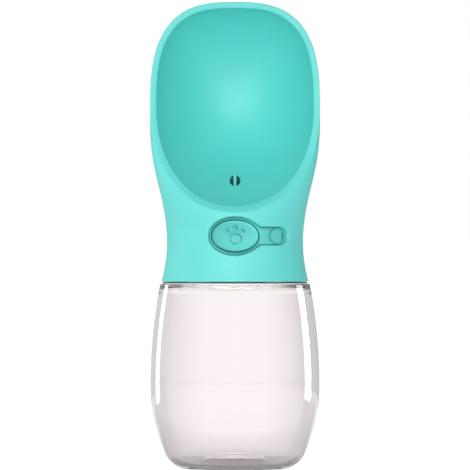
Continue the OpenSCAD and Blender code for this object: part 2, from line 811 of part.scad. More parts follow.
// The spring: one round wire that winds at a steady pitch between the button's boss and the gland
module return_spring() {
    r = wire_d / 2;
    n = 6;
    steps = 18 * coil_turns;
    span = spring_l - wire_d - 2 * run_gap;
    echo(spring_turn_gap = span / coil_turns - wire_d);
    rings = [
        for (i = [0:steps])
            let (a = 360 * coil_turns * i / steps, y = boss_y + r + run_gap + span * i / steps)
            [
                for (j = [0:n - 1])
                    let (b = 360 * j / n, q = coil_r + r * cos(b))
                    [q * cos(a), y + r * sin(b), button_z + q * sin(a)]
            ]
    ];
    function middle(ring) = [for (k = [0:2]) (ring[0][k] + ring[n / 2][k]) / 2];
    color(steel) rings_solid(middle(rings[0]), rings, middle(rings[steps]));
}

end_ring_y = (chamber_back + housing_back) / 2;
end_flange_t = 1;
module end_cap() {
    color(white) difference() {
        union() {
            rod_y(piston_r - run_gap, chamber_back, housing_back + weld, button_z);
            rod_y(housing_r, housing_back, housing_back + end_flange_t, button_z);
        }
        ring_groove(end_ring_y, small_ring_w, small_groove_w);
    }
}
module end_cap_ring() {
    color(dark) o_ring_y(piston_r - small_ring_w - run_gap, small_ring_w, end_ring_y);
}

module inlet_seal() {
    r_out = inlet_hole_r - run_gap;
    r_in = inlet_spigot_r + run_gap;
    color(silicone) ring_z(r_out, r_in, plate_z + seat_gap, plate_top - seat_gap);
}
module outlet_seal() {
    r_out = outlet_seat_r - run_gap;
    r_in = outlet_spigot_r + run_gap;
    color(silicone) translate([0, outlet_y, 0])
        ring_z(r_out, r_in, outlet_boss_z + 2 * seat_gap, outlet_seat_z - 2 * seat_gap);
}

bottle();
shoulder_seal();
head_shell();
button_bezel();
button();
lock_knob();
lock_plate();
base_plate();
base_screws();
neck_gasket();
valve_housing();
valve_plunger();
piston_ring();
seat_seal();
return_spring();
gland_cap();
stem_seal();
end_cap();
end_cap_ring();
inlet_seal();
outlet_seal();
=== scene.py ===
"""Travel water bottle for a dog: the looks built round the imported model, in a plain pale studio.

Sizes are in millimetres until a mesh is made. A height named _h is above the head's bottom edge,
and one named _z is above the floor. The scoop and the button face -Y.
"""

import json
import math

import bmesh
import bpy
import numpy as np
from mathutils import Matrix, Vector
from mathutils.bvhtree import BVHTree


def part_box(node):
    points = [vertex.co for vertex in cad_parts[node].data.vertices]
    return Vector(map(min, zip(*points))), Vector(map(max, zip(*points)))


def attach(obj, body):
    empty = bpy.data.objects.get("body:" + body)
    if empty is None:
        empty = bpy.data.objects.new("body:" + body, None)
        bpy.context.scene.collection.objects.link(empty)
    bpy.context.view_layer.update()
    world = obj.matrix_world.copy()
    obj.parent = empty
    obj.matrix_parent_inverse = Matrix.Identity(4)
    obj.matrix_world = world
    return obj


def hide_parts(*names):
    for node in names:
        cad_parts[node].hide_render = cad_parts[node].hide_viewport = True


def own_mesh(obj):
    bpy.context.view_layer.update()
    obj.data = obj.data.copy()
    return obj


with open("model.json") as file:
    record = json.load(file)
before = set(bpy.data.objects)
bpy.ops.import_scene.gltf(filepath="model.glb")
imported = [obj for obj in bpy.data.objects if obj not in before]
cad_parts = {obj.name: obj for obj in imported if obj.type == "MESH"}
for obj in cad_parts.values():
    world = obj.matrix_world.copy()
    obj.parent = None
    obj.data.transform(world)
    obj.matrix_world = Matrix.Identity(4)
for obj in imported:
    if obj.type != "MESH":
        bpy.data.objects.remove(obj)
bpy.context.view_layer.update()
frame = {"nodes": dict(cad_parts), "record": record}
NODES = frame["nodes"]
MM = 0.001


# ---- sizes ----


def box_mm(node):
    """Lowest and highest corner of a CAD node, in millimetres."""
    low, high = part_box(node)
    return low / MM, high / MM


HEAD_LOW, HEAD_HIGH = box_mm("head_shell")
BOTTLE_HIGH = box_mm("bottle")[1]
SEAL_LOW, SEAL_HIGH = box_mm("shoulder_seal")
PLATE_HIGH = box_mm("base_plate")[1]

# The head's outer wall
HEAD_Z = HEAD_LOW.z
HEAD_H = HEAD_HIGH.z - HEAD_LOW.z
SCOOP_W = HEAD_HIGH.x - HEAD_LOW.x
HEAD_WALL = 2.2
SKIRT_R = 34.65
WAIST_R = 32.05
WAIST_H = 18.7
FLARE_H = 56
SCOOP_MID_H = 82.2
BACK_Y = 36.25
BACK_H = 76
TILT_H = WAIST_H + 5
BACK_SHARE = 0.3

# The scoop's rim and bowl
RIM_LOW_H = 32.4
RIM_TOP_Y = 1
RIM_BEND_H = 28
RIM_SQUARE_TOP = 2.85
RIM_SQUARE_LOW = 2.12
LIP_W = 3.1
LIP_SLOPE = 0.8
LIP_IN_ROUND = 0.6
LIP_OUT_ROUND = 1.25
BOWL_Y = 32
BOWL_H = 86
BOWL_ROUND = 1.5
BOWL_ROUND_CHANGE = 0.25

# The cavity under the bowl
CEILING_H = 32.3
CEILING_SLOPE = 0.24
CEILING_BOW = 0.009
CEILING_LIFT = 0.05
CEILING_TRIES = 24
CAVITY_TAPER = 2.3
BOTTOM_ROUND = 0.35

# The bosses for the screws, and how far a boss runs into the ceiling
SCREW_RING_R = 19
SCREW_BOSS_R = 3.2
PILOT_R = 1.25
PILOT_DEEP = 7.6
BOSS_SINK = 0.5

# The outlet, its boss over the valve's housing, and the seat of the outlet's seal
OUTLET_R = 2.55
OUTLET_H = 47.5
OUTLET_Y = 20
OUTLET_BOSS_R = 5.6
OUTLET_BOSS_SINK = 1.5
HOUSING_R = 6.6
BOSS_STEP = 0.9
OUTLET_SEAT_R = 4.25
OUTLET_SEAT_H = 4.3
RISER_NARROWER = 0.3
POST_RX = 0.75
POST_RY = 1.1
POST_BEHIND = 0.2

# The button, its bezel and the catch
BUTTON_Z = HEAD_Z + 21.4
BUTTON_RX = 10.95
BUTTON_RY = 7.3
BUTTON_R = WAIST_R + 1.2
BUTTON_GAP = 0.4
PAW_DEPTH = 0.5
PAW_SOFT = 0.2
PAW_PAD = (0, -1.3, 3.3, 2.5)
PAW_MIDDLE = (0, -1.6, 1.9, 1.9)
PAW_TOES = [(-3.54, 2.24, 0.95), (3.54, 2.24, 0.95), (0, 3.7, 1.2)]
BUTTON_RIM = 0.9
BUTTON_DISH = 1.0
BUTTON_FLANGE_GROW = 1.25
BUTTON_FLANGE_R = 28.05
BUTTON_BACK_R = 26.9
BUTTON_BOSS_R = 5
BUTTON_BOSS_FRONT = -27.4
BUTTON_BOSS_BACK = -26
SOCKET_R = 1.95
SOCKET_DEEP = 0.8
BEZEL_RX = 12.65
BEZEL_RY = 9
BEZEL_FACE_R = WAIST_R - 1
BEZEL_FLANGE_R = 29.6
BEZEL_BACK_R = 28.3
BEZEL_NOSE_BACK_R = 28.95
BEZEL_FLANGE_GROW = 1.4
BEZEL_FIT = 0.2
BEZEL_EDGE = 0.3
PLATE_GAP = 0.25
WINDOW_ROUND = 0.7
WINDOW_FLARE_ENDS = math.radians(76)
ARM_R = 4.25
ARM_X = 24.85
ARM_BLEND = 3
KNOB_R = 3.3
KNOB_X = 18.7
KNOB_TURN = math.acos(KNOB_X / BEZEL_FACE_R)
KNOB_NECK_R = 1.6
KNOB_T = 1.4
KNOB_GAP = 0.25
SLOT_GAP = 0.25
SLOT_SWING = math.radians(7)
SPRING_L = 8.5
SPRING_FIXED_Y = -17.5
WIRE_D = 0.8
COIL_R = 3.9
COIL_TURNS = 5

# The bottle
BOTTLE_R = BOTTLE_HIGH.x
NECK_TOP = BOTTLE_HIGH.z
SHOULDER_Z = SEAL_LOW.z
BELLY_Z = 39.5
BELLY_ARC = 78
FOOT_ARC = 12.6
SHOULDER_R = 35.2
BOTTLE_WALL = 2.2
BASE_RISE = 5.2
NECK_R = 25.15
MOUTH_R = 22.95
SEAL_R_IN = 27.525
THREAD_PITCH = 4
THREAD_DEPTH = 1.4
THREAD_TURNS = 1.25


# ---- formulas of the head, all taking angles in radians and working on arrays ----


def smooth(s):
    t = np.clip(s, 0, 1)
    return t * t * (3 - 2 * t)


def power(v, e):
    return np.sign(v) * np.abs(v) ** e


def flank_r(h):
    """Radius of the outer wall at the height h."""
    below = WAIST_R + (SKIRT_R - WAIST_R) * (np.maximum(WAIST_H - h, 0) / WAIST_H) ** 2
    above = WAIST_R + (SCOOP_W / 2 - WAIST_R) * smooth((h - WAIST_H) / FLARE_H)
    return np.where(h < WAIST_H, below, above)


def back_at(h):
    """Distance of the back from the axis, up to its fullest place."""
    above = WAIST_R + (BACK_Y - WAIST_R) * smooth((h - WAIST_H) / (BACK_H - WAIST_H))
    return np.where(h < WAIST_H, flank_r(h), above)


RIM_REACH = float(flank_r(RIM_LOW_H)) - RIM_TOP_Y


def rim_y(h):
    return -RIM_TOP_Y - RIM_REACH * np.exp(-(h - RIM_LOW_H) / RIM_BEND_H)


def squareness(u, s):
    return np.where(np.sin(u) > 0, 2 + (RIM_SQUARE_TOP - 2) * s, 2 + (RIM_SQUARE_LOW - 2) * s)


def rim_xh(u, inset, s=1):
    """A point of the rim, or of an outline inside it whose squareness is s of the rim's."""
    e = 2 / squareness(u, s)
    high = np.where(np.sin(u) > 0, HEAD_H - SCOOP_MID_H, SCOOP_MID_H - RIM_LOW_H)
    x = (SCOOP_W / 2 - inset) * power(np.cos(u), e)
    return x, SCOOP_MID_H + (high - inset) * power(np.sin(u), e)


def back_line(s):
    low = TILT_H + (BACK_H - TILT_H) * s / BACK_SHARE
    a = math.pi / 2 * np.clip((s - BACK_SHARE) / (1 - BACK_SHARE), 0, 1)
    tip = rim_y(HEAD_H)
    y = np.where(s < BACK_SHARE, back_at(low), tip + (BACK_Y - tip) * np.cos(a))
    return y, np.where(s < BACK_SHARE, low, BACK_H + (HEAD_H - BACK_H) * np.sin(a))


def front_line(s):
    h = TILT_H + (RIM_LOW_H - TILT_H) * s
    return -flank_r(h), h


def side_line(s):
    return rim_y(SCOOP_MID_H) * s * s, TILT_H + (SCOOP_MID_H - TILT_H) * s


def end_line(u, s):
    back_y, back_h = back_line(s)
    front_y, front_h = front_line(s)
    up = np.sin(u) > 0
    return np.where(up, back_y, front_y), np.where(up, back_h, front_h)


def rim_bow(u):
    end_y, end_h = end_line(u, 1.0)
    side_y, side_h = side_line(1.0)
    h = rim_xh(u, 0)[1]
    return rim_y(h) - side_y - (end_y - side_y) * (h - side_h) / (end_h - side_h)


def outer_point(u, s):
    """The outer wall above the waist: s is 0 where its rings begin to tilt and 1 at the rim."""
    e = 2 / squareness(u, s)
    side_y, side_h = side_line(s)
    end_y, end_h = end_line(u, s)
    k = np.abs(np.sin(u)) ** e
    y = side_y + (end_y - side_y) * k + rim_bow(u) * s * s
    return np.stack([flank_r(side_h) * power(np.cos(u), e), y, side_h + (end_h - side_h) * k], -1)


def skirt_point(u, h):
    r = flank_r(h)
    return np.stack([r * np.cos(u), r * np.sin(u), h + 0 * u], -1)


def bowl_point(u, a):
    """The bowl: a is 0 at the lip and a quarter turn at the deepest place."""
    out = np.cos(a)
    lip_x, lip_h = rim_xh(u, LIP_W, smooth(out))
    edge_h = rim_xh(u, LIP_W)[1]
    deep = np.sin(a) ** (2 / (BOWL_ROUND + BOWL_ROUND_CHANGE * np.sin(u)))
    y = rim_y(edge_h) + LIP_SLOPE
    return np.stack([lip_x * out, y + (BOWL_Y - y) * deep, BOWL_H + (lip_h - BOWL_H) * out], -1)


def ceiling_h(x, y):
    lift = CEILING_LIFT * np.maximum(y - OUTLET_Y / 2, 0) ** 2
    return CEILING_H + CEILING_SLOPE * (y + WAIST_R - HEAD_WALL) + CEILING_BOW * x * x + lift


def cavity_r(u, h):
    back = np.where(np.sin(u) > 0, back_at(h), flank_r(h))
    thick = HEAD_WALL + CAVITY_TAPER * smooth((h - TILT_H) / (BACK_H - TILT_H))
    return flank_r(h) * np.cos(u) ** 2 + back * np.sin(u) ** 2 - thick


def cavity_point(u, s):
    top = np.full_like(u, CEILING_H)
    for _ in range(CEILING_TRIES):
        r = cavity_r(u, top)
        top = ceiling_h(r * np.cos(u), r * np.sin(u))
    r = cavity_r(u, top * s)
    return np.stack([r * np.cos(u), r * np.sin(u), top * s], -1)


def ceiling_point(u, s):
    edge = cavity_point(u, 1.0)
    x = edge[:, 0] * s
    y = edge[:, 1] * s
    return np.stack([x, y, ceiling_h(x, y)], -1)


# ---- mesh helpers ----


def mesh_object(name, points, faces, crease=35):
    """A smooth-shaded object from points in millimetres, its normals outward and its folds sharp."""
    mesh = bpy.data.meshes.new(name)
    mesh.from_pydata([tuple(p) for p in np.asarray(points, float) * MM], [], faces)
    finish_mesh(mesh, crease)
    obj = bpy.data.objects.new(name, mesh)
    bpy.context.scene.collection.objects.link(obj)
    return obj


def finish_mesh(mesh, crease=35):
    bm = bmesh.new()
    bm.from_mesh(mesh)
    bmesh.ops.recalc_face_normals(bm, faces=bm.faces)
    bm.to_mesh(mesh)
    bm.free()
    mesh.shade_smooth()
    mesh.set_sharp_from_angle(angle=math.radians(crease))


def rings_faces(n, m):
    """Faces of m rings of n points that follow one point and are followed by another."""
    faces = []
    last = 1 + (m - 1) * n
    for j in range(n):
        k = (j + 1) % n
        faces.append((0, 1 + j, 1 + k))
        for i in range(m - 1):
            a = 1 + i * n
            faces.append((a + j, a + n + j, a + n + k, a + k))
        faces.append((last + j, 1 + m * n, last + k))
    return faces


def solid_of_rings(name, first, rings, last, crease=35):
    points = np.vstack([[first], *rings, [last]])
    return mesh_object(name, points, rings_faces(len(rings[0]), len(rings)), crease)


def lathe(name, profile, steps, crease=35):
    """A solid of revolution round Z. The profile runs between two points on the axis."""
    turns = np.linspace(0, 2 * math.pi, steps, endpoint=False)
    rings = [np.stack([r * np.cos(turns), r * np.sin(turns), z + 0 * turns], -1) for r, z in profile[1:-1]]
    ends = [(0, 0, profile[0][1]), (0, 0, profile[-1][1])]
    return solid_of_rings(name, ends[0], rings, ends[1], crease)


def boolean(obj, tool, operation, crease=35):
    """Cuts or joins the tool, a closed mesh, into obj, and removes the tool."""
    modifier = obj.modifiers.new("boolean", "BOOLEAN")
    modifier.object = tool
    modifier.operation = operation
    modifier.solver = "MANIFOLD"
    depsgraph = bpy.context.evaluated_depsgraph_get()
    made = bpy.data.meshes.new_from_object(obj.evaluated_get(depsgraph))
    obj.modifiers.clear()
    old = obj.data
    made.name = old.name
    obj.data = made
    bpy.data.meshes.remove(old)
    bpy.data.objects.remove(tool)
    finish_mesh(made, crease)


def arc(centre, r, start, end, steps):
    """Points of an arc in a profile's plane, the angles in degrees."""
    angles = np.radians(np.linspace(start, end, steps + 1))
    return [(centre[0] + r * math.cos(a), centre[1] + r * math.sin(a)) for a in angles]


def lengths(points):
    """Length along each curve of an array of points, curve by curve: shape (steps, curves)."""
    steps = np.linalg.norm(np.diff(points, axis=0), axis=-1)
    return np.vstack([np.zeros(steps.shape[1]), np.cumsum(steps, axis=0)])


def walk(curve, start, end, distance, steps=60):
    """The parameter, between start and end, at which each curve has gone that distance."""
    ts = np.linspace(start, end, steps)
    along = lengths(np.stack([curve(t) for t in ts]))
    return np.array([np.interp(distance, along[:, j], ts) for j in range(along.shape[1])])


def rounded(before, corner, after, steps):
    """Rings of a rounded corner, from the ring before it to the ring after it, both included."""
    a = before - corner
    b = after - corner
    cosine = np.sum(a * b, -1) / (np.linalg.norm(a, axis=-1) * np.linalg.norm(b, axis=-1))
    weight = np.sqrt((1 - np.clip(cosine, -1, 1)) / 2)[:, None]
    rings = []
    for t in np.linspace(0, 1, steps + 1):
        p = before * (1 - t) ** 2 + corner * 2 * weight * t * (1 - t) + after * t * t
        rings.append(p / ((1 - t) ** 2 + 2 * weight * t * (1 - t) + t * t))
    return rings


# ---- the head ----

HEAD_STEPS = 288


def even_turns(n):
    """Angles round the head that lie about evenly along both the rim and the waist."""
    u = np.linspace(0, 2 * math.pi, 4001)
    rim = outer_point(u, 1.0)
    along = np.concatenate([[0], np.cumsum(np.linalg.norm(np.diff(rim, axis=0), axis=1))])
    share = 0.5 * along / along[-1] + 0.5 * u / (2 * math.pi)
    return np.interp(np.arange(n) / n, share, u)


def head_rings(u):
    quarter = math.pi / 2
    rim = outer_point(u, 1.0)
    edge = bowl_point(u, 0.0 * u)
    bowl_end = walk(lambda a: bowl_point(u, a + 0 * u), 0, 0.4, LIP_IN_ROUND)
    wall_end = walk(lambda s: outer_point(u, s + 0 * u), 1, 0.9, LIP_OUT_ROUND)
    across = rim - edge
    unit = across / np.linalg.norm(across, axis=-1)[:, None]
    rings = []
    for f in np.linspace(0.015, 1, 66) ** 0.8:
        rings.append(bowl_point(u, quarter + (bowl_end - quarter) * f))
    rings += rounded(rings.pop(), edge, edge + unit * LIP_IN_ROUND, 5)
    lip_end = rim - unit * LIP_OUT_ROUND
    rings.append((rings[-1] + lip_end) / 2)
    rings += rounded(lip_end, rim, outer_point(u, wall_end), 8)
    for f in np.linspace(0, 1, 84)[1:]:
        rings.append(outer_point(u, wall_end * (1 - f)))
    for h in np.linspace(TILT_H, BOTTOM_ROUND, 20)[1:-1]:
        rings.append(skirt_point(u, h))
    bottom = skirt_point(u, 0)
    inside = cavity_point(u, 0.0)
    inward = (inside - bottom) / np.linalg.norm(inside - bottom, axis=-1)[:, None]
    rings += rounded(skirt_point(u, BOTTOM_ROUND), bottom, bottom + inward * BOTTOM_ROUND, 4)
    inner_edge = inside - inward * BOTTOM_ROUND
    rings += rounded(inner_edge, inside, inside + np.array([0, 0, BOTTOM_ROUND]), 4)
    for s in np.linspace(0, 1, 12)[1:]:
        rings.append(cavity_point(u, s))
    for s in np.linspace(1, 0, 10)[1:-1]:
        rings.append(ceiling_point(u, s))
    return rings


def raise_rings(rings, z):
    return [ring + np.array([0, 0, z]) for ring in rings]


# ---- outlines on the front wall ----


def oval(grow, n, rx=BUTTON_RX, rz=BUTTON_RY):
    t = np.linspace(0, 2 * math.pi, n, endpoint=False)
    return np.stack([(rx + grow) * np.cos(t), (rz + grow) * np.sin(t)], -1)


def keyhole(grow, n):
    """The bezel's outline: an oval that runs into an arm with a round end, the corners between eased."""
    rx = BEZEL_RX + grow
    rz = BEZEL_RY + grow
    arm = ARM_R + grow
    arm_x = ARM_X - ARM_R
    t = np.linspace(0, math.pi, 1500)
    middle = (arm_x + arm - rx) / 2
    x = middle + (middle + rx) * np.cos(t)
    oval_z = rz * np.sqrt(np.clip(1 - (x / rx) ** 2, 0, 1))
    end_z = np.sqrt(np.clip(arm**2 - np.clip(x - arm_x, 0, None) ** 2, 0, None))
    arm_z = np.where(x > 0, end_z, 0)
    near = np.clip(1 - np.abs(oval_z - arm_z) / ARM_BLEND, 0, 1)
    z = np.maximum(oval_z, arm_z) + np.where(x > 0, near**2 * ARM_BLEND / 4, 0)
    z[0] = z[-1] = 0
    top = np.stack([x, z], -1)
    along = lengths(top[:, None, :])[:, 0]
    at = np.linspace(0, along[-1], n // 2 + 1)
    half = np.stack([np.interp(at, along, top[:, i]) for i in (0, 1)], -1)
    return np.vstack([half, half[-2:0:-1] * [1, -1]])


def on_wall(outline, r, square=True):
    """An outline's points on a cylinder of the radius r, square to the wall or straight in."""
    x = outline[:, 0]
    if square:
        turn = np.arcsin(np.clip(x / WAIST_R, -1, 1))
        x = r * np.sin(turn)
    y = -np.sqrt(np.maximum(r * r - x * x, 0.01))
    return np.stack([x, y, BUTTON_Z + outline[:, 1]], -1)


def cap_shares(steps):
    return np.linspace(1, 0, steps + 1)[1:-1]


def wall_solid(name, levels, square=True, cap=14, crease=35):
    """A solid behind and in front of the wall from (outline, radius) levels, back to front."""
    back_outline, back_r = levels[0]
    front_outline, front_r = levels[-1]
    rings = [on_wall(back_outline * f, back_r, square) for f in cap_shares(cap)[::-1]]
    rings += [on_wall(outline, r, square) for outline, r in levels]
    rings += [on_wall(front_outline * f, front_r, square) for f in cap_shares(cap)]
    return solid_of_rings(name, (0, -back_r, BUTTON_Z), rings, (0, -front_r, BUTTON_Z), crease)


def cylinder(name, r, low, high, axis="Z", at=(0, 0, 0), steps=64):
    """A plain rod along an axis, used to cut or join."""
    turns = np.linspace(0, 2 * math.pi, steps, endpoint=False)
    round_xy = np.stack([r * np.cos(turns), r * np.sin(turns)], -1)
    rings = []
    for h in (low, high):
        along = np.full(steps, float(h))
        columns = [round_xy[:, 0], round_xy[:, 1], along]
        if axis == "Y":
            columns = [round_xy[:, 0], along, round_xy[:, 1]]
        rings.append(np.stack(columns, -1) + np.array(at))
    ends = np.array([[0, 0, low], [0, 0, high]], float)
    if axis == "Y":
        ends = ends[:, [0, 2, 1]]
    return solid_of_rings(name, ends[0] + at, rings, ends[1] + at)


def window_cutter(shell):
    """The keyhole's cut through the front wall, flared where it meets the outer surface."""
    tree = BVHTree.FromObject(shell, bpy.context.evaluated_depsgraph_get())
    edge_round = WINDOW_ROUND
    deepest = 4.2
    levels = [(0.0, deepest), (0.0, 2.0), (0.0, edge_round)]
    for a in np.linspace(0, WINDOW_FLARE_ENDS, 8)[1:]:
        levels.append((edge_round * (1 - math.cos(a)), edge_round * (1 - math.sin(a))))
    beyond = 1.05
    grow, depth = levels[-1]
    grow += beyond * math.sin(WINDOW_FLARE_ENDS)
    levels.append((grow, depth - beyond * math.cos(WINDOW_FLARE_ENDS)))
    rings = []
    for grow, depth in levels:
        outline = keyhole(grow, 240)
        ring = []
        for x, z in outline:
            hit = tree.ray_cast(Vector((x, -60, BUTTON_Z + z)) * MM, Vector((0, 1, 0)))[0]
            r = math.hypot(hit.x, hit.y) / MM
            share = (r - depth) / r
            ring.append((hit.x / MM * share, hit.y / MM * share, BUTTON_Z + z))
        rings.append(np.array(ring))
    outside = rings[-1].copy()
    outside[:, 1] = -2 * WAIST_R
    rings.append(outside)
    return solid_of_rings("window_cutter", rings[0].mean(0), rings, outside.mean(0))


def make_head():
    """The head's moulding, with its window, its bosses and the outlet."""
    u = even_turns(HEAD_STEPS)
    rings = raise_rings(head_rings(u), HEAD_Z)
    pole = (0, BOWL_Y, HEAD_Z + BOWL_H)
    top = (0, 0, HEAD_Z + float(ceiling_h(0, 0)))
    head = solid_of_rings("head_moulding", pole, rings, top)
    boolean(head, window_cutter(head), "DIFFERENCE")
    outlet_at = (0, OUTLET_Y, 0)
    riser_top = HEAD_Z + OUTLET_H
    boss_low = BUTTON_Z + HOUSING_R + BOSS_STEP
    boss_top = HEAD_Z + float(ceiling_h(0, OUTLET_Y)) + OUTLET_BOSS_SINK
    boolean(head, cylinder("boss", OUTLET_BOSS_R, boss_low, boss_top, at=outlet_at), "UNION")
    for turn in range(4):
        add_screw_boss(head, math.pi / 4 + turn * math.pi / 2)
    seat_top = boss_low + OUTLET_SEAT_H
    boolean(head, cylinder("seat", OUTLET_SEAT_R, boss_low - 1, seat_top, at=outlet_at), "DIFFERENCE")
    riser = cylinder("riser", OUTLET_R - RISER_NARROWER, seat_top - 1, riser_top, at=outlet_at)
    boolean(head, riser, "DIFFERENCE")
    outlet = cylinder("outlet", OUTLET_R, -10, OUTLET_Y, "Y", (0, 0, riser_top), 96)
    boolean(head, outlet, "DIFFERENCE")
    boolean(head, outlet_post(), "UNION")
    return head


def add_screw_boss(head, a):
    """A boss from the base plate to the ceiling, with the screw's pilot hole."""
    at = (SCREW_RING_R * math.cos(a), SCREW_RING_R * math.sin(a), 0)
    low = PLATE_HIGH.z
    high = HEAD_Z + float(ceiling_h(at[0], at[1])) + BOSS_SINK
    boolean(head, cylinder("boss", SCREW_BOSS_R, low, high, at=at), "UNION")
    boolean(head, cylinder("pilot", PILOT_R, low - 1, low + PILOT_DEEP, at=at, steps=24), "DIFFERENCE")


def outlet_post():
    """The slim upright post in the outlet hole, its front a little behind the bowl's surface."""
    a = np.linspace(0.05, math.pi / 2, 400)
    down = bowl_point(np.full(400, -math.pi / 2), a)
    front = float(np.interp(OUTLET_H, down[:, 2], down[:, 1])) + POST_BEHIND
    reach = OUTLET_R + 0.3
    t = np.linspace(0, 2 * math.pi, 32, endpoint=False)
    x = POST_RX * np.cos(t)
    y = front + POST_RY + POST_RY * np.sin(t)
    rings = [np.stack([x, y, HEAD_Z + OUTLET_H + z + 0 * t], -1) for z in (-reach, reach)]
    return solid_of_rings("post", rings[0].mean(0), rings, rings[1].mean(0))


# ---- bezel, button and catch ----


def make_bezel():
    """The keyhole insert: a nose in the head's window, a flange behind it, and two openings."""
    fit = BEZEL_FIT
    edge = BEZEL_EDGE
    n = 240
    nose = [(keyhole(-fit, n), r) for r in (BEZEL_NOSE_BACK_R, BEZEL_FACE_R - edge)]
    for a in np.radians([30, 60, 85]):
        grow = -fit - edge * (1 - math.cos(a))
        nose.append((keyhole(grow, n), BEZEL_FACE_R - edge * (1 - math.sin(a))))
    bezel = wall_solid("keyhole_bezel", nose)
    flange = [(keyhole(BEZEL_FLANGE_GROW, n), r) for r in (BEZEL_BACK_R, BEZEL_FLANGE_R)]
    boolean(bezel, wall_solid("flange", flange), "UNION")
    gap = BUTTON_GAP
    hole = [(oval(gap, 128), r) for r in (BEZEL_BACK_R - 3, BEZEL_FACE_R - edge)]
    for a in np.radians([30, 60, 80]):
        grow = gap + edge * (1 - math.cos(a))
        hole.append((oval(grow, 128), BEZEL_FACE_R - edge * (1 - math.sin(a))))
    hole.append((oval(gap + edge + 0.6, 128), BEZEL_FACE_R + 0.4))
    boolean(bezel, wall_solid("hole", hole, square=False), "DIFFERENCE")
    boolean(bezel, slot_cutter(), "DIFFERENCE")
    top = PLATE_HIGH.z + PLATE_GAP
    plate_room = cylinder("plate_room", WAIST_R - HEAD_WALL, top - 4, top, steps=128)
    boolean(bezel, plate_room, "DIFFERENCE")
    return bezel


def slot_cutter():
    """The slot that the catch's neck slides along, with round ends, square to the wall."""
    r = KNOB_NECK_R + SLOT_GAP
    half = SLOT_SWING * BEZEL_FACE_R / 2
    t = np.linspace(0, 2 * math.pi, 64, endpoint=False)
    along = r * np.cos(t) + half * np.sign(np.cos(t))
    up = r * np.sin(t)
    middle = -KNOB_TURN + SLOT_SWING / 2
    rings = []
    for radius in (BEZEL_BACK_R - 2, BEZEL_FACE_R + 1):
        turn = middle + along / BEZEL_FACE_R
        rings.append(np.stack([radius * np.cos(turn), radius * np.sin(turn), BUTTON_Z + up], -1))
    return solid_of_rings("slot", rings[0].mean(0), rings, rings[1].mean(0))


def paw_depth(x, z):
    """Depth of the paw figure: a sunk pad with a raised middle, and three sunk toes."""

    def disc(cx, cz, rx, rz):
        reach = np.hypot((x - cx) / rx, (z - cz) / rz)
        return smooth((1 - reach) * min(rx, rz) / PAW_SOFT + 0.5)

    pad = disc(*PAW_PAD) - disc(*PAW_MIDDLE)
    toes = sum(disc(cx, cz, r, r) for cx, cz, r in PAW_TOES)
    return PAW_DEPTH * (np.maximum(pad, 0) + toes)


def make_button():
    """The button's face is dished, with a rounded rim, a straight side and a flange behind."""
    n = 256
    rim = BUTTON_RIM
    flange = BUTTON_FLANGE_GROW
    base = oval(0, n)

    def face(share):
        outline = base * share
        x, z = outline[:, 0], outline[:, 1]
        sunk = BUTTON_DISH * (1 - smooth(np.full(n, share)))
        r = BUTTON_R - sunk - paw_depth(x, z)
        return np.stack([x, -np.sqrt(r * r - x * x), BUTTON_Z + z], -1)

    rings = [face(f) for f in np.linspace(0.01, 1 - rim / BUTTON_RY, 88)]
    edge_start = rings[-1]
    corner_y = -np.sqrt(BUTTON_R**2 - base[:, 0] ** 2)
    corner = np.stack([base[:, 0], corner_y, BUTTON_Z + base[:, 1]], -1)
    low = corner + np.array([0, rim, 0])
    rings += rounded(edge_start, corner, low, 7)[1:]
    for grow, r in ((0, BUTTON_FLANGE_R), (flange, BUTTON_FLANGE_R), (flange, BUTTON_BACK_R)):
        rings.append(on_wall(oval(grow, n), r, square=False))
    for share in cap_shares(8):
        rings.append(on_wall(oval(flange, n) * share, BUTTON_BACK_R, square=False))
    first = (0, -(BUTTON_R - BUTTON_DISH - float(paw_depth(0.0, 0.0))), BUTTON_Z)
    button = solid_of_rings("push_button", first, rings, (0, -BUTTON_BACK_R, BUTTON_Z), 40)
    at = (0, 0, BUTTON_Z)
    front, back = BUTTON_BOSS_FRONT, BUTTON_BOSS_BACK
    boolean(button, cylinder("boss", BUTTON_BOSS_R, front, back, "Y", at), "UNION", 40)
    socket = cylinder("socket", SOCKET_R, front - SOCKET_DEEP, back + 1, "Y", at)
    boolean(button, socket, "DIFFERENCE", 40)
    return button


def knob_profile():
    """The knob and its neck, along an axis that is square to the wall."""
    low = BEZEL_FACE_R + KNOB_GAP
    top = low + KNOB_T
    profile = [(0, BUTTON_BACK_R), (KNOB_NECK_R, BUTTON_BACK_R), (KNOB_NECK_R, low)]
    profile += [(KNOB_R - 0.25, low)]
    profile += arc((KNOB_R - 0.25, low + 0.25), 0.25, -60, 0, 3)
    profile += arc((KNOB_R - 0.55, top - 0.62), 0.55, 0, 75, 7)
    profile += [(r, top - 0.09 * (r / KNOB_R) ** 2) for r in (2.4, 1.8, 1.2, 0.6)]
    profile += [(0, top)]
    return profile


def make_knob():
    knob = lathe("catch_knob", knob_profile(), 96)
    turn = -KNOB_TURN
    for v in knob.data.vertices:
        across, up, out = v.co.y, -v.co.x, v.co.z
        v.co = (
            out * math.cos(turn) - across * math.sin(turn),
            out * math.sin(turn) + across * math.cos(turn),
            up + BUTTON_Z * MM,
        )
    finish_mesh(knob.data)
    return knob


